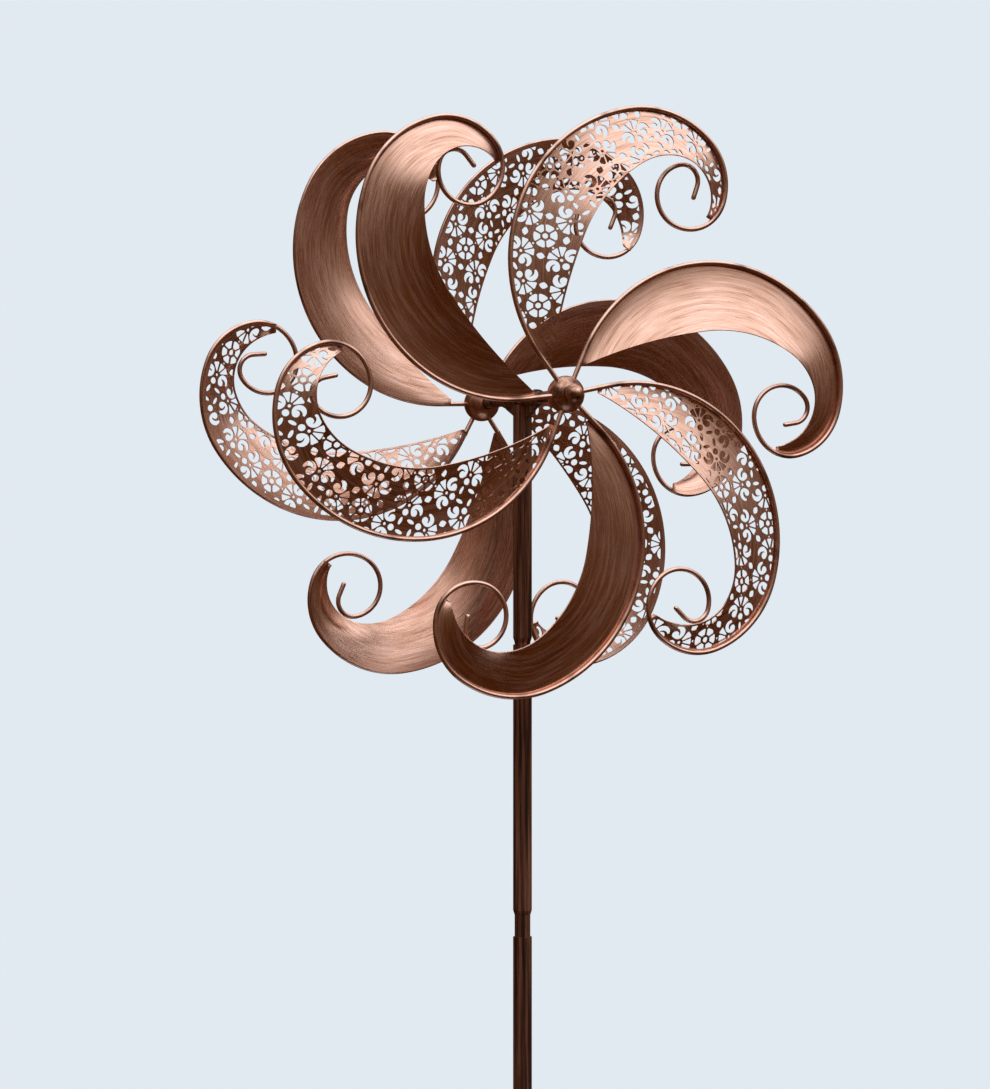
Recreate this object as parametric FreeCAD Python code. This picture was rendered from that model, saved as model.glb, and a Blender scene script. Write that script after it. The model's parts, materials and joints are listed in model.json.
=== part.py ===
import FreeCAD
import Part
import math
import os

# A garden wind spinner: two six-bladed rotors turn freely, one on each side of a pole that is
# pushed into the ground. Millimetres, +Z up, origin at the ground line on the pole's axis.
# The front of the object faces -Y and the axle lies along Y.

V = FreeCAD.Vector

# ---- overall ----
AXLE_Z = 1600.0          # height of the axle above the ground
HUB_Y = 109.0            # from the pole's axis to the middle of each hub
GAP = 0.05               # clearance between pieces that fit together

# ---- scroll wire: it leaves its socket radially and bends clockwise, seen from the front ----
WIRE_R = 2.4
WIRE_PLANE = 4.0         # the wires lie this far outboard of the middle of the hub
SOCKET_BOTTOM = 9.6      # from the axle's axis to the inner end of a wire
WIRE_LEAD = 35.4         # straight run out of the socket
WIRE_BENDS = [(155.0, 117.0), (100.0, 55.0), (62.0, 61.0), (40.0, 98.0), (32.0, 146.0), (16.0, 120.0)]
WIRE_TAIL = 12.0         # straight run at the end of the scroll

# ---- blade sheet: its outer edge lies on the inboard side of the wire, its inner edge stands outboard ----
SHEET_T = 1.2
SHEET_FROM = 25.0        # length along the wire where the sheet starts
SHEET_TO = 537.0         # length along the wire where the sheet ends
SHEET_STATIONS = 44      # sections along the sheet
CROWDING = 0.7           # how much closer these stand near its two tips
SHEET_GAP = 0.08         # clearance between the sheet and the wire
INNER_START = (33.5, -5.0)
INNER_HEADING = -41.6
INNER_BENDS = [(429.0, 17.5), (141.0, 39.0), (66.0, 34.0), (46.5, 99.0)]
EDGE_TUCK = 3.0          # the tips of the inner edge lie behind the wire's plane by this much
EDGE_LIFT = 23.5         # how far the middle of the inner edge rises from there
EDGE_REACH = 1.6         # the sheet reaches this far outward past the line where it meets the wire
CROWN = 0.05             # bulge of the sheet across its width, as a share of the width

# ---- directions in which the blades leave the hubs, in degrees, as the hand-welded rotors have them ----
FRONT_ANGLES = [186.8, 127.9, 66.3, 11.8, -43.3, -110.7]
REAR_ANGLES = [181.4, 124.4, 58.0, 3.9, -56.3, -118.6]

# ---- hub ----
BALL_R = 18.4
SHELL_T = 1.2
CORE_R = 13.9
CORE_HALF = 10.0
CORE_BORE_R = 7.2
DOME_HOLE_R = 9.0
BACK_HOLE_R = 6.5
NOTCH_R = WIRE_R + 0.2

# ---- ball bearings, 8 x 16 x 5 ----
AXLE_R = 4.0
BEARING_R = 8.0
BEARING_W = 5.0
RACE_SPLIT = 0.8         # half of the open gap between the two rings
BALL_PITCH_R = 6.0
BEARING_BALL_R = 1.2
BALL_COUNT = 9

# ---- axle and its cap nuts ----
NUT_R = 9.5
NUT_AT = 20.7            # from the middle of the hub to the middle of the nut's ball
NUT_NECK_R = 5.5
WASHER_T = 1.2
WASHER_R = 6.3
AXLE_END = 22.0          # the axle reaches this far outboard of the middle of the hub
SPACER_R = 5.5

# ---- pole head ----
TUBE_R = 9.5
TUBE_WALL = 1.5
CROSS_R = 8.0
CROSS_WALL = 1.5
CROSS_HALF = 41.0
BUSH_L = 14.0
SET_SCREW_R = 2.0
SET_SCREW_Y = 34.0
HEAD_CUT = 6.0           # the pole's top edge lies this far below the axle
GUSSET_T = 4.0
GUSSET_DROP = 20.0

# ---- pole sections, each with a reduced spigot that enters the section below ----
SEAMS = [1352.0, 1057.0, 757.0, 457.0]
NECKS = [2.0, 22.0, 2.0, 2.0]       # reduced length that shows above each seam
SPIGOT_L = 42.0
SPIGOT_R = TUBE_R - TUBE_WALL - GAP
TAPER_L = 5.0

# ---- ground stake ----
BAR_T = 10.0
BAR_W = 22.0
BAR_HALF = 75.0
SPIKE_R = 5.0
SPIKE_L = 190.0
SPIKE_TIP_L = 30.0
SPIKE_TIP_R = 0.8
SPIKE_X = 60.0

UP = V(0, 0, 1)
OUT = V(0, 1, 0)


class Path:
    """A flat path of tangent runs in the rotor's plane, each (length, clockwise turn in degrees)."""

    def __init__(self, start, heading, runs):
        self.start = start
        self.heading = heading
        self.runs = runs
        self.length = sum(run[0] for run in runs)

    def after(self, x, z, heading, length, turn):
        """Where a run that starts at x, z ends: its end point and heading."""
        a = math.radians(heading)
        if turn == 0:
            return x + length * math.cos(a), z + length * math.sin(a), heading
        r = length / math.radians(turn)
        b = math.radians(heading - turn)
        return x + r * (math.sin(a) - math.sin(b)), z - r * (math.cos(a) - math.cos(b)), heading - turn

    def at(self, s):
        """The point and heading at length s."""
        x, z = self.start
        heading = self.heading
        for length, turn in self.runs:
            part = min(s, length)
            x, z, heading = self.after(x, z, heading, part, turn * part / length)
            s -= part
            if s <= 0:
                break
        return x, z, heading

    def edges(self, y):
        """The path as line and arc edges at height y along the axle."""
        made = []
        s = 0.0
        for length, turn in self.runs:
            points = []
            for share in (0.0, 0.5, 1.0):
                x, z, heading = self.at(s + length * share)
                points.append(V(x, y, z))
            if turn == 0:
                made.append(Part.LineSegment(points[0], points[2]).toShape())
            else:
                made.append(Part.Arc(points[0], points[1], points[2]).toShape())
            s += length
        return made


def bends(pairs):
    """Runs for a list of (radius, turn in degrees)."""
    return [(radius * math.radians(turn), turn) for radius, turn in pairs]


WIRE = Path((SOCKET_BOTTOM, 0.0), 0.0, [(WIRE_LEAD, 0)] + bends(WIRE_BENDS) + [(WIRE_TAIL, 0)])
INNER = Path(INNER_START, INNER_HEADING, bends(INNER_BENDS))


# ---------------------------------------------------------------- basic solids


def rod(radius, base, direction, length):
    return Part.makeCylinder(radius, length, base, direction)


def lathe(profile, axis):
    """A solid of revolution about axis, from (radius, height) points."""
    side = V(1, 0, 0)
    points = [side * r + axis * h for r, h in profile]
    face = Part.Face(Part.makePolygon(points + [points[0]]))
    return face.revolve(V(0, 0, 0), axis, 360)


def sleeve(outer, inner, low, high):
    """A plain ring or tube along the axle, between two heights."""
    return lathe([(inner, low), (outer, low), (outer, high), (inner, high)], OUT)


def turned(shape, degrees):
    """The shape turned about the axle; positive is anticlockwise seen from the front."""
    return shape.rotated(V(0, 0, 0), OUT, -degrees)


# ---------------------------------------------------------------- blades and wires


def scroll_wire():
    path = Part.Wire(WIRE.edges(WIRE_PLANE))
    section = Part.Wire(Part.makeCircle(WIRE_R, V(SOCKET_BOTTOM, WIRE_PLANE, 0), V(1, 0, 0)))
    return path.makePipeShell([section], True, False)


def swell(share):
    """How fully the sheet is formed at a share of its length: 0 at both tips, 1 near the middle."""
    return math.sqrt(max(math.sin(math.pi * share ** 1.3), 0.0))


def across(share):
    """The sheet's middle line across the blade, as a parabola's three poles, and half its thickness there."""
    x, z, heading = WIRE.at(SHEET_FROM + share * (SHEET_TO - SHEET_FROM))
    wire = V(x, WIRE_PLANE, z)
    ahead = V(math.cos(math.radians(heading)), 0, math.sin(math.radians(heading)))
    x, z, heading = INNER.at(share * INNER.length)
    inner = V(x, WIRE_PLANE - EDGE_TUCK + EDGE_LIFT * swell(share), z)
    outward = OUT
    for _ in range(5):      # the touching line and the sheet's direction at it depend on each other
        foot = wire - outward * (WIRE_R + SHEET_GAP + SHEET_T / 2)
        chord = inner - foot
        side = V(chord.x, 0, chord.z).cross(OUT).normalize()
        bulge = chord.cross(side).normalize() * (4 * CROWN * chord.Length)
        outward = ahead.cross(chord + bulge).normalize()
    start = -min(EDGE_REACH / chord.Length, 0.2)
    leave = chord + bulge * (1 - 2 * start)
    edge = foot + chord * start + bulge * (start * (1 - start))
    poles = [edge, edge + leave * ((1 - start) / 2), inner]
    first = leave.cross(side).normalize()
    last = (chord - bulge).cross(side).normalize()
    both = first + last
    return poles, [first * (SHEET_T / 2), both * (SHEET_T / both.dot(both)), last * (SHEET_T / 2)]


def sheet_section(share):
    """The closed outline of the sheet across the blade."""
    poles, halves = across(share)
    face = [p + half for p, half in zip(poles, halves)]
    back = [p - half for p, half in zip(poles, halves)]
    curves = []
    for line in (face, back[::-1]):
        curve = Part.BezierCurve()
        curve.setPoles(line)
        curves.append(curve.toShape())
    return Part.Wire([
        curves[0],
        Part.LineSegment(face[-1], back[-1]).toShape(),
        curves[1],
        Part.LineSegment(back[0], face[0]).toShape(),
    ])


def blade_sheet():
    sections = []
    for i in range(SHEET_STATIONS + 1):
        part = i / SHEET_STATIONS
        sections.append(sheet_section(part - CROWDING * math.sin(2 * math.pi * part) / (2 * math.pi)))
    return Part.makeLoft(sections, True, False)


# ---------------------------------------------------------------- hub


def wire_bores(radius, start, angles):
    """Round cutters along the wires' straight runs."""
    cutter = rod(radius, V(start, WIRE_PLANE, 0), V(1, 0, 0), BALL_R + 10 - start)
    return [turned(cutter, angle) for angle in angles]


def hub_core(angles):
    """Turned boss with a bearing pocket at each end and six blind sockets for the wires."""
    pocket = CORE_HALF - BEARING_W
    wide = BEARING_R + GAP / 2
    core = lathe([
        (wide, -CORE_HALF), (CORE_R, -CORE_HALF), (CORE_R, CORE_HALF), (wide, CORE_HALF),
        (wide, pocket), (CORE_BORE_R, pocket), (CORE_BORE_R, -pocket), (wide, -pocket),
    ], OUT)
    return core.cut(wire_bores(WIRE_R + GAP, SOCKET_BOTTOM - GAP, angles))


def hub_shell(low, high, hole, hole_at, angles):
    """Half of the hollow ball, between two heights, notched for the wires."""
    ball = Part.makeSphere(BALL_R).cut(Part.makeSphere(BALL_R - SHELL_T))
    slab = rod(BALL_R + 1, V(0, low, 0), OUT, high - low)
    shell = ball.common(slab)
    shell = shell.cut(rod(hole, V(0, 0, 0), OUT * hole_at, BALL_R + 1))
    return shell.cut(wire_bores(NOTCH_R, CORE_R, angles))


# ---------------------------------------------------------------- bearings


def bearing_centres():
    middle = CORE_HALF - BEARING_W / 2
    return [-middle, middle]


def bearing_rings(inner, outer):
    """The rings of both bearings, with the ball groove cut in each."""
    rings = []
    for centre in bearing_centres():
        ring = sleeve(outer, inner, centre - BEARING_W / 2, centre + BEARING_W / 2)
        groove = Part.makeTorus(BALL_PITCH_R, BEARING_BALL_R + GAP, V(0, centre, 0), OUT)
        rings.append(ring.cut(groove))
    return Part.makeCompound(rings)


def bearing_balls():
    balls = []
    for centre in bearing_centres():
        for i in range(BALL_COUNT):
            a = 2 * math.pi * i / BALL_COUNT
            place = V(BALL_PITCH_R * math.cos(a), centre, BALL_PITCH_R * math.sin(a))
            balls.append(Part.makeSphere(BEARING_BALL_R, place))
    return Part.makeCompound(balls)


def cap_nut():
    """Ball-shaped nut with a short neck, screwed on the end of the axle."""
    base = CORE_HALF + WASHER_T
    ball = Part.makeSphere(NUT_R, V(0, NUT_AT, 0))
    ball = ball.common(rod(NUT_R + 1, V(0, base + 2, 0), OUT, 3 * NUT_R))
    nut = ball.fuse(rod(NUT_NECK_R, V(0, base, 0), OUT, 6))
    return nut.cut(rod(AXLE_R + GAP / 2, V(0, 0, 0), OUT, AXLE_END + 1)).removeSplitter()


# ---------------------------------------------------------------- assembly of one rotor's side


def rotor_nodes(angles):
    """Every piece of one rotor, around the middle of its hub with +Y outboard."""
    seam = WIRE_PLANE
    nodes = {
        "hub_core": hub_core(angles),
        "hub_dome": hub_shell(seam + GAP, BALL_R + 1, DOME_HOLE_R, 1, angles),
        "hub_back": hub_shell(-BALL_R - 1, seam - GAP, BACK_HOLE_R, -1, angles),
        "bearing_outer_rings": bearing_rings(BALL_PITCH_R + RACE_SPLIT, BEARING_R),
        "bearing_balls": bearing_balls(),
    }
    wire = scroll_wire()
    sheet = blade_sheet()
    for i, angle in enumerate(angles):
        kind = "solid_blade" if i % 2 == 0 else "lace_blade"
        nodes["scroll_wire_%d" % (i + 1)] = turned(wire, angle)
        nodes["%s_%d" % (kind, i + 1)] = turned(sheet, angle)
    return nodes


def axle_side_nodes():
    """The pieces on the axle that don't turn, around the middle of a hub with +Y outboard."""
    fit = AXLE_R + GAP / 2
    inboard = CROSS_HALF - HUB_Y
    return {
        "bearing_inner_rings": bearing_rings(fit, BALL_PITCH_R - RACE_SPLIT),
        "bearing_spacer": sleeve(
            BALL_PITCH_R - RACE_SPLIT, fit, -CORE_HALF + BEARING_W, CORE_HALF - BEARING_W
        ),
        "axle_spacer": sleeve(SPACER_R, fit, inboard, -CORE_HALF),
        "washer": sleeve(WASHER_R, fit, CORE_HALF, CORE_HALF + WASHER_T),
        "cap_nut": cap_nut(),
    }


def to_side(shape, front):
    """Moves a piece from its hub to the object, mirrored for the front."""
    if front:
        return shape.mirror(V(0, 0, 0), OUT).translated(V(0, -HUB_Y, AXLE_Z))
    return shape.translated(V(0, HUB_Y, AXLE_Z))


# ---------------------------------------------------------------- stand


def axle_rod():
    half = HUB_Y + AXLE_END
    return rod(AXLE_R, V(0, -half, AXLE_Z), OUT, 2 * half)


def screw_bores(radius, low, length):
    """Upright rods through the top of the cross tube, one at each end."""
    return [rod(radius, V(0, side * SET_SCREW_Y, AXLE_Z + low), UP, length) for side in (-1, 1)]


def cross_tube():
    tube = sleeve(CROSS_R, CROSS_R - CROSS_WALL, -CROSS_HALF, CROSS_HALF).translated(UP * AXLE_Z)
    return tube.cut(screw_bores(SET_SCREW_R + GAP, 0, CROSS_R + 1))


def cross_tube_bushes():
    outer = CROSS_R - CROSS_WALL - GAP / 2
    near = CROSS_HALF - BUSH_L
    bushes = []
    for low in (-CROSS_HALF, near):
        bush = sleeve(outer, AXLE_R + GAP / 2, low, low + BUSH_L).translated(UP * AXLE_Z)
        bushes.append(bush.cut(screw_bores(SET_SCREW_R + GAP, 0, CROSS_R + 1)))
    return Part.makeCompound(bushes)


def set_screws():
    low = AXLE_R + GAP
    return Part.makeCompound(screw_bores(SET_SCREW_R, low, CROSS_R + 0.4 - low))


def head_gussets():
    """Two plates that brace the cross tube from the pole."""
    top = AXLE_Z - CROSS_R
    bottom = top - GUSSET_DROP + CROSS_R
    corners = [V(0, TUBE_R, top), V(0, CROSS_HALF, top), V(0, TUBE_R, bottom)]
    plates = []
    for side in (-1, 1):
        points = [V(-GUSSET_T / 2, side * p.y, p.z) for p in corners]
        plate = Part.Face(Part.makePolygon(points + [points[0]])).extrude(V(GUSSET_T, 0, 0))
        plate = plate.cut(rod(CROSS_R + GAP / 2, V(0, -CROSS_HALF, AXLE_Z), OUT, 2 * CROSS_HALF))
        plates.append(plate.cut(rod(TUBE_R + GAP / 2, V(0, 0, 0), UP, AXLE_Z)))
    return Part.makeCompound(plates)


def pole_tube(low, high, neck):
    """One section: a full tube, then, below its neck, a spigot that reaches below low."""
    bore = TUBE_R - TUBE_WALL
    slim = SPIGOT_R - TUBE_WALL
    if neck is None:
        profile = [(bore, low), (TUBE_R, low), (TUBE_R, high), (bore, high)]
    else:
        tip = low - SPIGOT_L
        taper = low + neck
        profile = [
            (slim, tip), (SPIGOT_R, tip), (SPIGOT_R, taper), (TUBE_R, taper + TAPER_L),
            (TUBE_R, high), (bore, high), (bore, taper + TAPER_L), (slim, taper),
        ]
    return lathe(profile, UP)


def head_section():
    """The top section, coped to carry the cross tube."""
    tube = pole_tube(SEAMS[0], AXLE_Z - HEAD_CUT, NECKS[0])
    return tube.cut(rod(CROSS_R + GAP / 2, V(0, -50, AXLE_Z), OUT, 100))


def step_bar():
    """Flat bar at the ground line: a foot presses on it, and the spikes hang from it."""
    bar = Part.makeBox(2 * BAR_HALF, BAR_W, BAR_T, V(-BAR_HALF, -BAR_W / 2, 0))
    upright = [edge for edge in bar.Edges if abs(edge.Length - BAR_T) < GAP]
    return bar.makeFillet(BAR_W / 3, upright)


def spike(x):
    """A pointed round spike that hangs below the step bar."""
    body = [(0, 0), (SPIKE_R, 0), (SPIKE_R, -SPIKE_L), (SPIKE_TIP_R, -SPIKE_L - SPIKE_TIP_L)]
    tip = [(0, -SPIKE_L - SPIKE_TIP_L)]
    return lathe(body + tip, UP).translated(V(x, 0, 0))


def stand_nodes():
    nodes = {
        "axle_rod": axle_rod(),
        "cross_tube": cross_tube(),
        "cross_tube_bushes": cross_tube_bushes(),
        "axle_set_screws": set_screws(),
        "head_gussets": head_gussets(),
        "pole_section_1": head_section(),
        "stake_tube": pole_tube(BAR_T, SEAMS[3], None),
        "step_bar": step_bar(),
        "centre_spike": spike(0),
        "side_spikes": Part.makeCompound([spike(-SPIKE_X), spike(SPIKE_X)]),
    }
    for i in range(1, len(SEAMS)):
        nodes["pole_section_%d" % (i + 1)] = pole_tube(SEAMS[i], SEAMS[i - 1], NECKS[i])
    return nodes


def all_nodes():
    nodes = stand_nodes()
    for name, angles, front in (("front", FRONT_ANGLES, True), ("rear", REAR_ANGLES, False)):
        pieces = rotor_nodes(angles)
        pieces.update(axle_side_nodes())
        for piece, shape in pieces.items():
            nodes["%s_%s" % (name, piece)] = to_side(shape, front)
    return nodes


def main():
    os.makedirs("parts", exist_ok=True)
    for name, shape in all_nodes().items():
        if not shape.isValid() or shape.Volume <= 0:
            raise ValueError("bad solid: " + name)
        shape.exportStep("parts/%s.step" % name)
        print(name, len(shape.Solids), round(shape.Volume, 1))


main()
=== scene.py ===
import json
import math

import bmesh
import bpy
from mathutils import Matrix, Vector
from mathutils.bvhtree import BVHTree
from mathutils.geometry import barycentric_transform, delaunay_2d_cdt


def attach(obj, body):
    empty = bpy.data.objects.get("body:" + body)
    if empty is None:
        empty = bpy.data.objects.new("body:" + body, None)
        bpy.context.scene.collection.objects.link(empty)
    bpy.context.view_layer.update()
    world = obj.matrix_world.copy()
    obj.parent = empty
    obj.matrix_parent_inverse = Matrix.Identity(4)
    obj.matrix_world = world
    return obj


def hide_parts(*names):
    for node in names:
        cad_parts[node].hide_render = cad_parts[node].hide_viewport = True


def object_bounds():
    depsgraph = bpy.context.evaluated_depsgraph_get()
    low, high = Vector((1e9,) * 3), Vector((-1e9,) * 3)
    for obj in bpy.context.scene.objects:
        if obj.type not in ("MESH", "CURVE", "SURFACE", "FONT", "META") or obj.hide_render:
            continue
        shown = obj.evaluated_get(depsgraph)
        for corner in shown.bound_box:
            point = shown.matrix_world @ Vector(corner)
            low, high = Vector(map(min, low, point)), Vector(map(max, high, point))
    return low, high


# The looks of a garden wind spinner: two six-bladed rotors of antique copper on a dark pole.
# Metres, +Z up. A blade is made in its own frame, where its wire leaves the hub along +X and
# bends clockwise, and +Y points away from the pole; then it is turned into its place on a rotor.

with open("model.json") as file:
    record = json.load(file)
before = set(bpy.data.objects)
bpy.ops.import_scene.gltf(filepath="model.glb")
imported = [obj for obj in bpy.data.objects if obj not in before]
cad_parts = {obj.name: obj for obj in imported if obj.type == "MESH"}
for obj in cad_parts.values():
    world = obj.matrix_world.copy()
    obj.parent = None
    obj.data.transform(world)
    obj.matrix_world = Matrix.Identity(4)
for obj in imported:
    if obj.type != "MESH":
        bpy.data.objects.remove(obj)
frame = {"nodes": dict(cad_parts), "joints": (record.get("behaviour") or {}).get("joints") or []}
cad_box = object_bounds()

SPIN = {joint["child"]: Vector(joint["pos_m"]) for joint in frame["joints"]}

# ---- scroll wire ----
WIRE_R = 0.0024
WIRE_PLANE = 0.004
SOCKET_BOTTOM = 0.0096
WIRE_LEAD = 0.0354
WIRE_BENDS = [(0.155, 117.0), (0.100, 55.0), (0.062, 61.0), (0.040, 98.0), (0.032, 146.0), (0.016, 120.0)]
WIRE_TAIL = 0.012
WIRE_STEP = 0.003        # between the rings of the wire's mesh
WIRE_SIDES = 16
WIRE_END_RINGS = 4       # rings that round off the wire's end
WIRE_END_SPREAD = 4.3    # these would reach the tip of a half ball at this ring

# ---- blade sheet ----
SHEET_T = 0.0012
SHEET_FROM = 0.025
SHEET_TO = 0.537
SHEET_GAP = 0.00008
INNER_START = (0.0335, -0.005)
INNER_HEADING = -41.6
INNER_BENDS = [(0.429, 17.5), (0.141, 39.0), (0.066, 34.0), (0.0465, 99.0)]
EDGE_TUCK = 0.003
EDGE_LIFT = 0.0235
EDGE_REACH = 0.0016
REACH_MOST = 0.2         # the same, as a share of the width where the sheet is narrow
CROWN = 0.05
TOUCH_ROUNDS = 5         # rounds to find where the sheet meets the wire
ROWS = 200               # mesh rows along a blade
COLUMNS = 21             # mesh columns across it
SHARP_ANGLE = 40         # edges of the meshes above this stay sharp

# ---- directions of the blades, in degrees ----
BLADE_ANGLES = {
    "front": [186.8, 127.9, 66.3, 11.8, -43.3, -110.7],
    "rear": [181.4, 124.4, 58.0, 3.9, -56.3, -118.6],
}

# ---- lace: a square lattice of flowers, with four palmettes round each of them ----
LACE_RIM = 0.0042        # plain metal along the wire
LACE_BORDER = 0.0018     # plain metal along the inner edge
LACE_TURN = 173.6        # direction of the motifs' first axis in the blade's frame
FLOWER_STEP = (0.0544, -0.0412)
FLOWER_R = 0.0116
FLOWER_EYE_R = 0.0028
SPOKE = 0.0015           # width of the metal between two petals
PALMETTE_AT = 0.0280     # from a flower's centre to a palmette's
SCROLL_AT = (0.0012, 0.0101)
SCROLL_R = 0.0065
PETALS = 6
PETAL_FROM = 0.0047      # from a flower's centre to the root of its petals
PALMETTE_EYE_R = 0.0016
FAN = ((-37, 0.0132), (0, 0.0124), (37, 0.0132))     # a palmette's petals: direction and reach
FAN_FROM = 0.0038
FAN_HALF = 18.5          # half the angle that each of them fills
FAN_SPOKE = 0.0012
DROP_R = 0.0034
DROP_AT = 0.0073
DIAMOND_SIZE = (0.0034, 0.0042)
DIAMOND_ROUND = 0.62     # where the middle of its sides lies, as a share of its corners
DIAMOND_AT = 0.0200
DOT_R = 0.0012
DOT_AT = 0.0137
LEAF_SIZE = (0.0084, 0.0038)
LEAF_AT = 0.0076
LEAF_TURN = 114
LACE_MARGIN = 0.04       # motifs this far outside the blade are still drawn
LATTICE_REACH = 8        # flowers tried each way from the origin
LACE_SPACING = 0.007     # between the extra mesh points inside the sheet
LACE_ORIGINS = {         # where one flower's centre lies on each blade
    "front_2": (0.1366, -0.0749),
    "front_4": (0.1408, -0.1209),
    "front_6": (0.1832, -0.1612),
    "rear_2": (0.1420, -0.0787),
    "rear_4": (0.1207, -0.1100),
    "rear_6": (0.1817, -0.1612),
}

# ---- studio ----
FLOOR_R = 0.6
DOME_UP = (0.14, -0.20, 1.0)     # the dome's brightness rises this way
DOME_STRENGTH = 1.55
DOME = [                         # height that way, from -1 to 1, and colour
    (-0.25, (0.042, 0.014, 0.003)),
    (0.00, (0.065, 0.028, 0.009)),
    (0.25, (0.075, 0.040, 0.022)),
    (0.49, (0.13, 0.08, 0.05)),
    (0.63, (0.80, 0.78, 0.76)),
    (0.80, (1.0, 1.02, 1.05)),
]
SURROUND = (0.76, 0.82, 0.88, 1)
FLOOR_DROP = 0.001       # the floor lies this far below the spikes
CAMERA_AT = (-1.2853, -3.041, 1.4464)
CAMERA_TILT = 90.117
CAMERA_TURN = -22.43
CAMERA_LENS = 108.0

OUT = Vector((0, 1, 0))


# ---------------------------------------------------------------- the shape of a blade


class Path:
    """A flat path of tangent runs in the rotor's plane, each (length, clockwise turn in degrees)."""

    def __init__(self, start, heading, runs):
        self.start = start
        self.heading = heading
        self.runs = runs
        self.length = sum(run[0] for run in runs)

    def at(self, s):
        """The point and heading at length s."""
        x, z = self.start
        heading = self.heading
        for length, turn in self.runs:
            part = min(s, length)
            a = math.radians(heading)
            if turn == 0:
                x += part * math.cos(a)
                z += part * math.sin(a)
            else:
                r = length / math.radians(turn)
                heading -= turn * part / length
                b = math.radians(heading)
                x += r * (math.sin(a) - math.sin(b))
                z -= r * (math.cos(a) - math.cos(b))
            s -= part
            if s <= 0:
                break
        return x, z, heading


def bends(pairs):
    """Runs for a list of (radius, turn in degrees)."""
    return [(radius * math.radians(turn), turn) for radius, turn in pairs]


WIRE = Path((SOCKET_BOTTOM, 0.0), 0.0, [(WIRE_LEAD, 0)] + bends(WIRE_BENDS) + [(WIRE_TAIL, 0)])
INNER = Path(INNER_START, INNER_HEADING, bends(INNER_BENDS))


def swell(share):
    """How fully the sheet is formed at a share of its length: 0 at both tips, 1 near the middle."""
    return math.sqrt(max(math.sin(math.pi * share ** 1.3), 0.0))


def section(share):
    """Points across the middle of the sheet at a share of its length, from the wire inwards."""
    x, z, heading = WIRE.at(SHEET_FROM + share * (SHEET_TO - SHEET_FROM))
    wire = Vector((x, WIRE_PLANE, z))
    ahead = Vector((math.cos(math.radians(heading)), 0, math.sin(math.radians(heading))))
    x, z, heading = INNER.at(share * INNER.length)
    inner = Vector((x, WIRE_PLANE - EDGE_TUCK + EDGE_LIFT * swell(share), z))
    outward = OUT
    # the touching line and the sheet's direction at it depend on each other
    for _ in range(TOUCH_ROUNDS):
        foot = wire - outward * (WIRE_R + SHEET_GAP + SHEET_T / 2)
        chord = inner - foot
        side = Vector((chord.x, 0, chord.z)).cross(OUT).normalized()
        bulge = chord.cross(side).normalized() * (4 * CROWN * chord.length)
        outward = ahead.cross(chord + bulge).normalized()
    start = -min(EDGE_REACH / chord.length, REACH_MOST)
    places = [start + (1 - start) * j / COLUMNS for j in range(COLUMNS + 1)]
    return [foot + chord * u + bulge * (u * (1 - u)) for u in places]


class Sheet:
    """The middle surface of a blade as rows of points across it, with what goes with each point."""

    def __init__(self):
        self.points = [section(i / ROWS) for i in range(ROWS + 1)]
        self.cut = [[Vector((p.x, p.z)) for p in row] for row in self.points]     # its flat outline
        self.flow = []           # length along the blade and width across it, for streaks
        for i, row in enumerate(self.points):
            along = SHEET_FROM + i / ROWS * (SHEET_TO - SHEET_FROM)
            self.flow.append([Vector((along, (p - row[0]).length, 0)) for p in row])
        self.rows = len(self.points)
        self.columns = len(self.points[0])
        self.normals = [[self.normal(i, j) for j in range(self.columns)] for i in range(self.rows)]

    def normal(self, i, j):
        """The outboard normal at a point."""
        before, after = max(i - 1, 0), min(i + 1, self.rows - 1)
        left, right = max(j - 1, 0), min(j + 1, self.columns - 1)
        along = self.points[after][j] - self.points[before][j]
        across = self.points[i][right] - self.points[i][left]
        return along.cross(across).normalized()


# ---------------------------------------------------------------- meshes


def finish_mesh(name, vertices, faces, flow):
    """A mesh object with smooth faces, some sharp edges and a flow attribute."""
    mesh = bpy.data.meshes.new(name)
    mesh.from_pydata(vertices, [], faces)
    attribute = mesh.attributes.new("flow", "FLOAT_VECTOR", "POINT")
    for i, value in enumerate(flow):
        attribute.data[i].vector = value
    bm = bmesh.new()
    bm.from_mesh(mesh)
    bmesh.ops.recalc_face_normals(bm, faces=bm.faces)
    bm.to_mesh(mesh)
    bm.free()
    mesh.shade_smooth()
    mesh.set_sharp_from_angle(angle=math.radians(SHARP_ANGLE))
    piece = bpy.data.objects.new(name, mesh)
    bpy.context.scene.collection.objects.link(piece)
    return piece


def placed(points, side, angle):
    """Points of a blade's frame, turned to their direction on the front or rear rotor."""
    centre = SPIN[side + "_rotor"]
    outboard = -1 if side == "front" else 1
    c = math.cos(math.radians(angle))
    s = math.sin(math.radians(angle))
    return [centre + Vector((p.x * c - p.z * s, outboard * p.y, p.x * s + p.z * c)) for p in points]


def shell(middle, normals, flow, triangles, rim):
    """A sheet of even thickness: two faces and a wall along the rim's edges."""
    half = SHEET_T / 2
    n = len(middle)
    vertices = [p + m * half for p, m in zip(middle, normals)]
    vertices += [p - m * half for p, m in zip(middle, normals)]
    attributes = list(flow) + list(flow)
    faces = [tuple(t) for t in triangles] + [tuple(n + i for i in reversed(t)) for t in triangles]
    for a, b in rim:
        faces.append((b, a, n + a, n + b))
    return vertices, faces, attributes


def rim_of(triangles):
    """The directed edges that only one face has."""
    edges = set()
    for t in triangles:
        for a, b in zip(t, t[1:] + t[:1]):
            edges.add((a, b))
    return [e for e in edges if (e[1], e[0]) not in edges]


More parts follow.
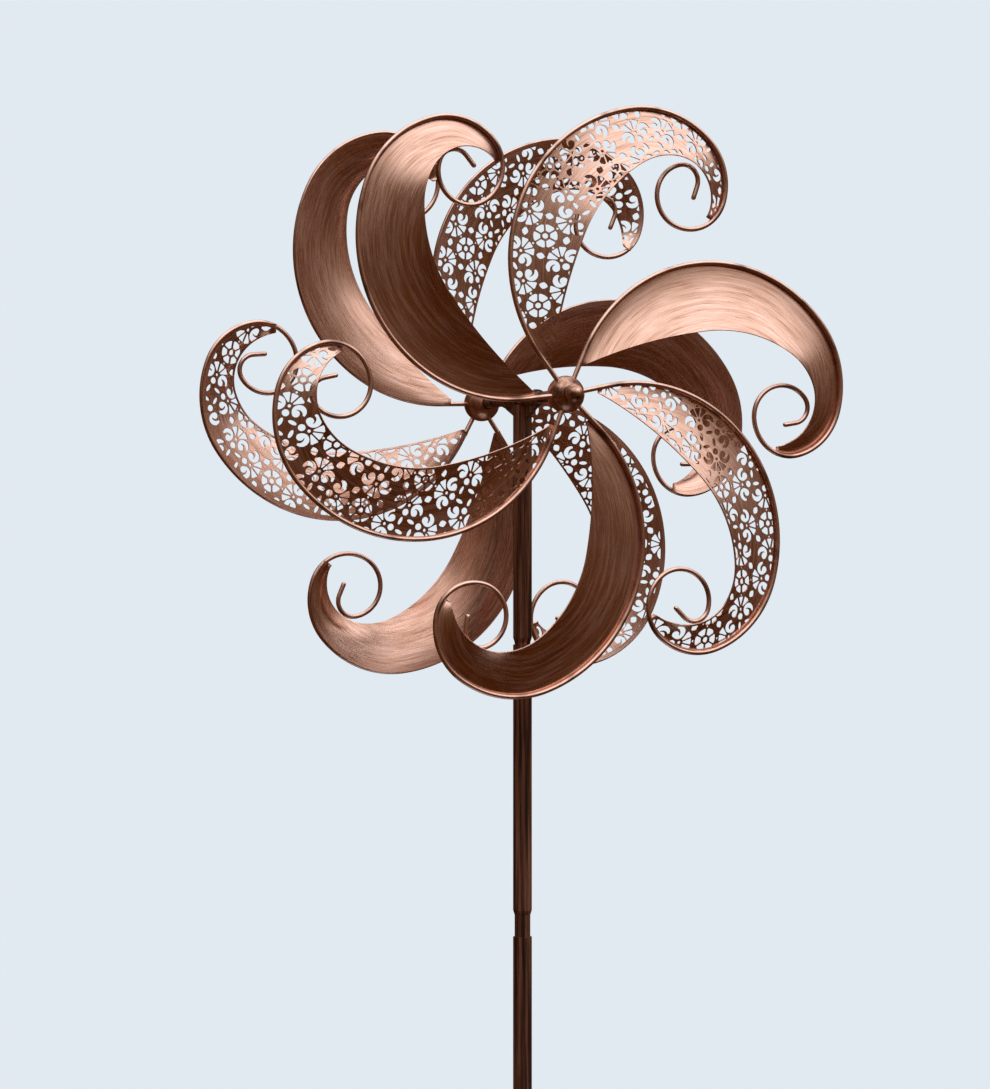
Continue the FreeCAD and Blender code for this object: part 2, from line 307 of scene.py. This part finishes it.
def solid_blade_form(sheet):
    """The plain sheet: points, normals, flow and faces."""
    columns = sheet.columns
    faces = []
    for i in range(sheet.rows - 1):
        for j in range(columns - 1):
            a = i * columns + j
            faces.append((a, a + 1, a + columns + 1, a + columns))
    middle = [p for row in sheet.points for p in row]
    normals = [n for row in sheet.normals for n in row]
    flow = [f for row in sheet.flow for f in row]
    return middle, normals, flow, faces


# ---------------------------------------------------------------- lace


def turned(points, degrees, centre=(0.0, 0.0)):
    """Flat points turned about the origin, then moved to centre."""
    c = math.cos(math.radians(degrees))
    s = math.sin(math.radians(degrees))
    return [Vector((centre[0] + p[0] * c - p[1] * s, centre[1] + p[0] * s + p[1] * c)) for p in points]


def arc(radius, start, end, count, centre=(0.0, 0.0)):
    """Points on an arc, angles in degrees, both ends included."""
    made = []
    for i in range(count + 1):
        a = math.radians(start + (end - start) * i / count)
        made.append((centre[0] + radius * math.cos(a), centre[1] + radius * math.sin(a)))
    return made


def disc(radius, count, centre=(0.0, 0.0)):
    """Points round a circle."""
    return arc(radius, 0, 360 - 360 / count, count - 1, centre)


def oval(length, width, count):
    """Points round an ellipse about the origin."""
    return [(x * length / 2, y * width / 2) for x, y in disc(1.0, count)]


def petal(inner, outer, half_angle, spoke):
    """A wedge along +x between two radii, narrowed on each side by half a spoke, with round outer corners."""
    a = math.radians(half_angle)

    def side(r):
        return max(r * math.tan(a) - spoke / 2 / math.cos(a), 0.0004)

    edge = outer * math.cos(a)
    soft = 0.25 * side(edge)
    lower = [
        (inner, -side(inner)), (edge - 1.6 * soft, -side(edge - 1.6 * soft)),
        (edge - 0.2 * soft, -side(edge) + 0.15 * soft), (edge + 0.9 * soft, -side(edge) + 1.2 * soft),
    ]
    return lower + [(outer, 0.0)] + [(x, -y) for x, y in reversed(lower)]


def flower():
    """Six petals round a small hole."""
    holes = [disc(FLOWER_EYE_R, 10)]
    for i in range(PETALS):
        holes.append(turned(petal(PETAL_FROM, FLOWER_R, 180 / PETALS, SPOKE), 360 / PETALS * i))
    return holes


def scroll(hand):
    """A fat hook that curls round a bulb, at its place beside the palmette's centre; hand is 1 or -1."""
    points = arc(SCROLL_R, 97, 330, 15)
    points += arc(0.0035, -35, 222, 11, (0.0033, -0.0004))
    points += arc(0.0049, 233, 128, 6, (0.0032, 0.0010))
    return [(p.x, p.y * hand) for p in turned(points, -24, SCROLL_AT)]


def palmette():
    """A fan of three petals along -x about a small hole, a scroll on each side and a drop behind."""
    holes = [disc(PALMETTE_EYE_R, 8)]
    for angle, reach in FAN:
        holes.append(turned(petal(FAN_FROM, reach, FAN_HALF, FAN_SPOKE), 180 + angle))
    holes += [scroll(1), scroll(-1)]
    holes.append(disc(DROP_R, 10, (DROP_AT, 0.0)))
    return holes


def diamond():
    """A rounded lozenge, wider across than along +x."""
    unit = []
    for x, y in disc(1.0, 4):
        unit.append((x, y))
        unit.append((DIAMOND_ROUND * (x - y), DIAMOND_ROUND * (x + y)))
    return [(DIAMOND_SIZE[0] * x, DIAMOND_SIZE[1] * y) for x, y in unit]


def motif():
    """Every hole that goes with one flower, in the motif's axes."""
    holes = flower()
    cell = ((FLOWER_STEP[0] - FLOWER_STEP[1]) / 2, (FLOWER_STEP[1] + FLOWER_STEP[0]) / 2)
    for i in range(4):
        for hole in palmette():
            holes.append(turned(turned(hole, 0, (PALMETTE_AT, 0.0)), 90 * i))
        holes.append(turned(turned(diamond(), 0, (DIAMOND_AT, 0.0)), 90 * i + 45))
        holes.append(turned(disc(DOT_R, 6, (DOT_AT, 0.0)), 90 * i))
        leaf = turned(oval(*LEAF_SIZE, 10), LEAF_TURN, (LEAF_AT, 0.0))
        holes.append(turned(leaf, 90 * i - LEAF_TURN, cell))
    return holes


def lace_holes(origin, sheet):
    """The holes of one blade that come near its outline, in the flat blade's frame."""
    holes = []
    low = [min(p[k] for row in sheet.cut for p in row) - LACE_MARGIN for k in (0, 1)]
    high = [max(p[k] for row in sheet.cut for p in row) + LACE_MARGIN for k in (0, 1)]
    one = turned([FLOWER_STEP, (-FLOWER_STEP[1], FLOWER_STEP[0])], LACE_TURN)
    parts = [turned(hole, LACE_TURN) for hole in motif()]
    steps = range(-LATTICE_REACH, LATTICE_REACH + 1)
    for i in steps:
        for j in steps:
            x = origin[0] + i * one[0][0] + j * one[1][0]
            z = origin[1] + i * one[0][1] + j * one[1][1]
            if low[0] < x < high[0] and low[1] < z < high[1]:
                holes += [turned(hole, 0, (x, z)) for hole in parts]
    return holes


def signed_area(loop):
    """Positive for a loop that runs anticlockwise."""
    return sum(a.x * b.y - b.x * a.y for a, b in zip(loop, loop[1:] + loop[:1])) / 2


def anticlockwise(loop):
    """The loop, reversed if need be."""
    return loop if signed_area(loop) > 0 else loop[::-1]


def outline(sheet):
    """The flat sheet's edge."""
    last = sheet.columns - 1
    loop = [sheet.cut[i][0] for i in range(0, sheet.rows, 2)]
    loop += [sheet.cut[-1][j] for j in range(1, last, 3)]
    loop += [sheet.cut[i][last] for i in range(sheet.rows - 1, -1, -2)]
    loop += [sheet.cut[0][j] for j in range(last - 3, 0, -3)]
    return loop


def pierced_outline(sheet):
    """The line that the holes stop at, inside the edge, where the sheet is wide enough to have it."""
    outer, inner = [], []
    for i in range(2, sheet.rows - 2, 2):
        start, end = sheet.cut[i][0], sheet.cut[i][-1]
        width = (end - start).length
        if width > LACE_RIM + 3 * LACE_BORDER:
            outer.append(start.lerp(end, LACE_RIM / width))
            inner.append(end.lerp(start, LACE_BORDER / width))
    return outer + inner[::-1]


def spread_points(sheet, step):
    """Extra points inside the sheet, so that its faces can follow its curve."""
    made = []
    rows = max(1, round(step / ((SHEET_TO - SHEET_FROM) / ROWS)))
    for i in range(rows, sheet.rows - rows, rows):
        for j in range(3, sheet.columns - 2, 3):
            made.append(sheet.cut[i][j])
    return made


def lace_blade_form(sheet, origin, tree, triangles):
    """The pierced sheet: points, normals, flow and faces."""
    loops = [outline(sheet), pierced_outline(sheet)] + lace_holes(origin, sheet)
    loops = [anticlockwise(loop) for loop in loops]
    coords = []
    faces = []
    for loop in loops:
        faces.append(list(range(len(coords), len(coords) + len(loop))))
        coords += loop
    coords += spread_points(sheet, LACE_SPACING)
    made, _, cut_faces, _, _, sources = delaunay_2d_cdt(coords, [], faces, 0, 1e-7)
    kept = []
    for face, source in zip(cut_faces, sources):
        if 0 in source and not (1 in source and max(source) > 1):
            kept.append(tuple(face))
    used = sorted({i for face in kept for i in face})
    number = {old: new for new, old in enumerate(used)}
    kept = [tuple(number[i] for i in face) for face in kept]
    middle, normals, flow = [], [], []
    for i in used:
        point = Vector((made[i].x, made[i].y, 0))
        _, _, index, _ = tree.find_nearest(point)
        corners = triangles[index]
        flat = [Vector((sheet.cut[r][c].x, sheet.cut[r][c].y, 0)) for r, c in corners]
        for source, result in ((sheet.points, middle), (sheet.normals, normals), (sheet.flow, flow)):
            result.append(barycentric_transform(point, *flat, *[source[r][c] for r, c in corners]))
    normals = [n.normalized() for n in normals]
    return middle, normals, flow, kept


def cut_tree(sheet):
    """The flat sheet as triangles, and a tree to find the one a point lies in."""
    triangles = []
    for i in range(sheet.rows - 1):
        for j in range(sheet.columns - 1):
            triangles.append(((i, j), (i, j + 1), (i + 1, j + 1)))
            triangles.append(((i, j), (i + 1, j + 1), (i + 1, j)))
    flat = [Vector((p.x, p.y, 0)) for row in sheet.cut for p in row]
    polygons = [tuple(r * sheet.columns + c for r, c in t) for t in triangles]
    return BVHTree.FromPolygons(flat, polygons), triangles


# ---------------------------------------------------------------- wires


def wire_form():
    """The scroll wire as rings along its path, with a rounded end."""
    stations = []
    count = math.ceil(WIRE.length / WIRE_STEP)
    for i in range(count + 1):
        s = WIRE.length * i / count
        stations.append((s, 1.0, 0.0))
    for k in range(1, WIRE_END_RINGS + 1):
        a = math.radians(90 * k / WIRE_END_SPREAD)
        stations.append((WIRE.length, math.cos(a), math.sin(a)))
    vertices, flow = [], []
    for s, size, past in stations:
        x, z, heading = WIRE.at(s)
        a = math.radians(heading)
        ahead = Vector((math.cos(a), 0, math.sin(a)))
        beside = Vector((-math.sin(a), 0, math.cos(a)))
        centre = Vector((x, WIRE_PLANE, z)) + ahead * (past * WIRE_R)
        for k in range(WIRE_SIDES):
            b = 2 * math.pi * k / WIRE_SIDES
            vertices.append(centre + (beside * math.cos(b) + OUT * math.sin(b)) * (WIRE_R * size))
            flow.append(Vector((s, WIRE_R * math.cos(b), WIRE_R * math.sin(b))))
    faces = []
    for i in range(len(stations) - 1):
        for k in range(WIRE_SIDES):
            a = i * WIRE_SIDES + k
            b = i * WIRE_SIDES + (k + 1) % WIRE_SIDES
            faces.append((a, b, b + WIRE_SIDES, a + WIRE_SIDES))
    faces.append(tuple(range(WIRE_SIDES)))
    faces.append(tuple(range(len(vertices) - WIRE_SIDES, len(vertices))))
    return vertices, faces, flow


# ---------------------------------------------------------------- materials


class Look:
    """A material's node tree, with short calls to add nodes."""

    def __init__(self, name):
        self.material = bpy.data.materials.new(name)
        self.material.use_nodes = True
        self.tree = self.material.node_tree
        self.tree.nodes.clear()
        self.shader = self.add("ShaderNodeBsdfPrincipled")
        output = self.add("ShaderNodeOutputMaterial")
        self.link(self.shader.outputs["BSDF"], output.inputs["Surface"])

    def add(self, kind, **settings):
        node = self.tree.nodes.new(kind)
        for key, value in settings.items():
            setattr(node, key, value)
        return node

    def link(self, source, target):
        self.tree.links.new(source, target)

    def flow(self, scale, bend=0.0):
        """The piece's own flow coordinates, scaled along, across and through, and bent a little."""
        source = self.add("ShaderNodeAttribute", attribute_name="flow").outputs["Vector"]
        return self.scaled(source, scale, bend)

    def place(self, scale, bend=0.0):
        """Coordinates in the object's frame, scaled, and bent a little."""
        source = self.add("ShaderNodeTexCoord").outputs["Object"]
        return self.scaled(source, scale, bend)

    def scaled(self, source, scale, bend):
        if bend:
            noise = self.add("ShaderNodeTexNoise")
            noise.inputs["Scale"].default_value = 9.0
            noise.inputs["Detail"].default_value = 1.0
            self.link(source, noise.inputs["Vector"])
            shift = self.add("ShaderNodeVectorMath", operation="MULTIPLY_ADD")
            shift.inputs[1].default_value = (bend, bend, bend)
            self.link(noise.outputs["Color"], shift.inputs[0])
            self.link(source, shift.inputs[2])
            source = shift.outputs[0]
        multiply = self.add("ShaderNodeVectorMath", operation="MULTIPLY")
        multiply.inputs[1].default_value = scale
        self.link(source, multiply.inputs[0])
        return multiply.outputs[0]

    def noise(self, vector, detail=3.0, roughness=0.6):
        node = self.add("ShaderNodeTexNoise")
        node.inputs["Scale"].default_value = 1.0
        node.inputs["Detail"].default_value = detail
        node.inputs["Roughness"].default_value = roughness
        self.link(vector, node.inputs["Vector"])
        return node.outputs["Fac"]

    def ramp(self, value, stops):
        """A colour or grey ramp: stops are (position, grey) or (position, (r, g, b))."""
        node = self.add("ShaderNodeValToRGB")
        elements = node.color_ramp.elements
        while len(elements) < len(stops):
            elements.new(1.0)
        for element, (position, colour) in zip(elements, stops):
            element.position = position
            rgb = colour if isinstance(colour, tuple) else (colour, colour, colour)
            element.color = (*rgb, 1.0)
        self.link(value, node.inputs["Fac"])
        return node.outputs["Color"]

    def mix(self, factor, a, b, blend="MIX"):
        """Mixes two colours; each is a socket or an (r, g, b), and the factor a socket or a number."""
        node = self.add("ShaderNodeMix", data_type="RGBA", blend_type=blend)
        for name, value in (("Factor", factor), ("A", a), ("B", b)):
            socket = [s for s in node.inputs if s.name == name and s.enabled][0]
            if isinstance(value, bpy.types.NodeSocket):
                self.link(value, socket)
            else:
                socket.default_value = (*value, 1.0) if isinstance(value, tuple) else value
        return [s for s in node.outputs if s.name == "Result" and s.enabled][0]

    def bump(self, height, strength, distance=0.0005):
        node = self.add("ShaderNodeBump")
        node.inputs["Strength"].default_value = strength
        node.inputs["Distance"].default_value = distance
        self.link(height, node.inputs["Height"])
        self.link(node.outputs["Normal"], self.shader.inputs["Normal"])

    def set(self, **values):
        for name, value in values.items():
            socket = self.shader.inputs[name.replace("_", " ")]
            if isinstance(value, bpy.types.NodeSocket):
                self.link(value, socket)
            else:
                socket.default_value = value


DARK = (0.08, 0.030, 0.015)
BROWN = (0.36, 0.155, 0.075)
COPPER = (0.66, 0.38, 0.28)
PINK = (0.82, 0.54, 0.44)
BRIGHT = (0.90, 0.64, 0.56)
POLE_BROWNS = [          # from bare patina to copper on the raised grain
    (0.36, (0.016, 0.009, 0.007)),
    (0.46, (0.06, 0.026, 0.016)),
    (0.54, (0.26, 0.11, 0.065)),
    (0.64, (0.5, 0.25, 0.17)),
]


def brushed_copper(name, stops, stain):
    """Copper sheet brushed along the piece, with a brown patina that is matt in streaks."""
    look = Look(name)
    fine = look.noise(look.flow((26, 900, 900), 0.004), 3.0, 0.65)
    broad = look.noise(look.flow((9, 240, 240), 0.01), 3.0, 0.6)
    scratch = look.noise(look.flow((26, 800, 800), 0.006), 3.0, 0.7)
    cloud = look.noise(look.flow((12, 45, 45), 0.01), 3.0, 0.6)
    colour = look.ramp(look.mix(0.4, fine, broad), stops)
    dark = look.ramp(cloud, [(0.42, 0.0), (0.68, stain)])
    colour = look.mix(dark, colour, BROWN)
    look.set(Base_Color=colour, Metallic=look.ramp(broad, [(0.40, 0.80), (0.52, 1.0)]))
    look.set(Roughness=look.ramp(scratch, [(0.36, 0.36), (0.54, 0.24), (0.62, 0.19)]))
    look.bump(fine, 0.08, 0.0002)
    return look.material


def wire_copper(name):
    """Round bar: brighter copper, with dark patina left in spots."""
    look = Look(name)
    fine = look.noise(look.flow((60, 700, 700)), 3.0, 0.6)
    spots = look.noise(look.flow((35, 60, 60)), 2.0, 0.5)
    colour = look.ramp(fine, [(0.2, COPPER), (0.5, PINK), (0.85, BRIGHT)])
    colour = look.mix(look.ramp(spots, [(0.52, 0.0), (0.72, 0.7)]), colour, DARK)
    look.set(Base_Color=colour, Metallic=1.0)
    look.set(Roughness=look.ramp(fine, [(0.2, 0.36), (0.8, 0.22)]))
    look.bump(fine, 0.12, 0.0002)
    return look.material


def hub_copper(name, stops, stained):
    """Spun or turned copper with fine rings of wear and stains of dark patina."""
    look = Look(name)
    fine = look.noise(look.place((260, 900, 260)), 4.0, 0.65)
    stains = look.noise(look.place((110, 110, 110)), 4.0, 0.6)
    colour = look.ramp(fine, stops)
    colour = look.mix(look.ramp(stains, [(0.62 - stained / 4, 0.0), (0.70, stained)]), colour, DARK)
    look.set(Base_Color=colour, Metallic=1.0)
    look.set(Roughness=look.ramp(fine, [(0.2, 0.40), (0.8, 0.26)]))
    look.bump(fine, 0.12, 0.0002)
    return look.material


def pole_paint(name):
    """Dark brown pole with copper brushed on lengthwise."""
    look = Look(name)
    fine = look.noise(look.place((520, 520, 10), 0.002), 4.0, 0.65)
    broad = look.noise(look.place((150, 150, 5), 0.004), 2.0, 0.5)
    both = look.mix(0.5, fine, broad)
    colour = look.ramp(both, POLE_BROWNS)
    look.set(Base_Color=colour, Metallic=0.6, Coat_Weight=0.15, Coat_Roughness=0.3)
    look.set(Roughness=look.ramp(both, [(0.3, 0.5), (0.7, 0.34)]))
    look.bump(fine, 0.25, 0.0002)
    return look.material


def steel(name):
    """Bright steel with fine turning marks."""
    look = Look(name)
    fine = look.noise(look.place((900, 2600, 900)), 3.0, 0.6)
    colour = look.ramp(fine, [(0.2, (0.32, 0.32, 0.33)), (0.8, (0.62, 0.62, 0.63))])
    look.set(Base_Color=colour, Metallic=1.0, Roughness=look.ramp(fine, [(0.2, 0.38), (0.8, 0.22)]))
    look.bump(fine, 0.1, 0.0001)
    return look.material


def plain(name, low, high):
    """A matt studio surface with a faint mottle."""
    look = Look(name)
    colour = look.ramp(look.noise(look.place((2, 2, 2))), [(0.3, low), (0.7, high)])
    look.set(Base_Color=colour, Roughness=0.85)
    return look.material


# ---------------------------------------------------------------- pieces


def finish_node(name, material):
    """Gives a CAD node a better material."""
    for slot in frame["nodes"][name].material_slots:
        slot.material = material


def build_rotors(sheet, materials):
    """The wires and blades of both rotors: odd blades are solid, even ones are lace."""
    tree, triangles = cut_tree(sheet)
    wire = wire_form()
    for side, angles in BLADE_ANGLES.items():
        for number, angle in enumerate(angles, 1):
            body = side + "_rotor"
            name = "%s_scroll_wire_%d" % (side, number)
            piece = finish_mesh(name + ".look", placed(wire[0], side, angle), wire[1], wire[2])
            dress(piece, name, body, materials["wire"])
            if number % 2:
                name = "%s_solid_blade_%d" % (side, number)
                form = solid_blade_form(sheet)
                slot = "blade_solid"
            else:
                name = "%s_lace_blade_%d" % (side, number)
                form = lace_blade_form(sheet, LACE_ORIGINS["%s_%d" % (side, number)], tree, triangles)
                slot = "blade_lace"
            middle, normals, flow, faces = form
            vertices, faces, flow = shell(middle, normals, flow, faces, rim_of(faces))
            piece = finish_mesh(name + ".look", placed(vertices, side, angle), faces, flow)
            dress(piece, name, body, materials[slot])


def dress(piece, node, body, material):
    """Gives a piece its material and puts it in the place of a CAD node."""
    piece.data.materials.append(material)
    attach(piece, body)
    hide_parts(node)


def build_studio():
    """A pale floor disc inside a light dome that runs from dark below to bright above.

    The dome lights the object and shows in its reflections. The camera itself sees an even surround.
    """
    bpy.ops.mesh.primitive_circle_add(vertices=128, radius=FLOOR_R, fill_type="NGON")
    floor = bpy.context.object
    floor.name = "floor"
    floor.location.z = cad_box[0].z - FLOOR_DROP
    floor.data.materials.append(plain("floor", (0.66, 0.67, 0.68), (0.70, 0.71, 0.72)))
    world = bpy.data.worlds.new("light_dome")
    bpy.context.scene.world = world
    world.use_nodes = True
    tree = world.node_tree
    direction = tree.nodes.new("ShaderNodeTexCoord")
    height = tree.nodes.new("ShaderNodeVectorMath")
    height.operation = "DOT_PRODUCT"
    height.inputs[1].default_value = DOME_UP
    tree.links.new(direction.outputs["Generated"], height.inputs[0])
    spread = tree.nodes.new("ShaderNodeMapRange")
    spread.inputs["From Min"].default_value = -1.0
    tree.links.new(height.outputs["Value"], spread.inputs["Value"])
    ramp = tree.nodes.new("ShaderNodeValToRGB")
    while len(ramp.color_ramp.elements) < len(DOME):
        ramp.color_ramp.elements.new(1.0)
    for element, (level, colour) in zip(ramp.color_ramp.elements, DOME):
        element.position = (level + 1) / 2
        element.color = (*colour, 1.0)
    tree.links.new(spread.outputs["Result"], ramp.inputs["Fac"])
    light = tree.nodes["Background"]
    light.inputs["Strength"].default_value = DOME_STRENGTH
    tree.links.new(ramp.outputs["Color"], light.inputs["Color"])
    seen = tree.nodes.new("ShaderNodeBackground")
    seen.inputs["Color"].default_value = SURROUND
    path = tree.nodes.new("ShaderNodeLightPath")
    mix = tree.nodes.new("ShaderNodeMixShader")
    tree.links.new(path.outputs["Is Camera Ray"], mix.inputs[0])
    tree.links.new(light.outputs[0], mix.inputs[1])
    tree.links.new(seen.outputs[0], mix.inputs[2])
    tree.links.new(mix.outputs[0], tree.nodes["World Output"].inputs["Surface"])


def build_camera():
    """A long lens in front of the object, a little to its left."""
    data = bpy.data.cameras.new("camera")
    data.lens = CAMERA_LENS
    camera = bpy.data.objects.new("camera", data)
    camera.location = CAMERA_AT
    camera.rotation_euler = (math.radians(CAMERA_TILT), 0, math.radians(CAMERA_TURN))
    bpy.context.scene.collection.objects.link(camera)
    bpy.context.scene.camera = camera
    bpy.context.scene.view_settings.view_transform = "Standard"


def main():
    materials = {
        "blade_solid": brushed_copper("blade_solid", [(0.34, BROWN), (0.43, COPPER), (0.60, PINK)], 0.4),
        "blade_lace": brushed_copper("blade_lace", [(0.32, BROWN), (0.42, COPPER), (0.56, PINK)], 0.25),
        "wire": wire_copper("scroll_wire"),
        "hub": hub_copper("hub", [(0.3, BROWN), (0.5, COPPER), (0.7, PINK)], 0.9),
        # hub_back: the hub's copper with its patina stains, but with copper in place of the pink top tone.
        # This duller copy is painted shade for the rear shell and core, which sit behind the front shell.
        "hub_back": hub_copper("hub_back", [(0.3, BROWN), (0.5, COPPER), (0.7, COPPER)], 0.6),
        "pole": pole_paint("pole"),
        "steel": steel("bright_steel"),
    }
    build_rotors(Sheet(), materials)
    for name in frame["nodes"]:
        if any(word in name for word in ("hub_back", "hub_core")):
            finish_node(name, materials["hub_back"])
        elif any(word in name for word in ("hub", "cap_nut")):
            finish_node(name, materials["hub"])
        elif any(word in name for word in ("bearing", "washer", "axle_rod", "screws", "bushes")):
            finish_node(name, materials["steel"])
        else:
            finish_node(name, materials["pole"])
    build_studio()
    build_camera()


main()
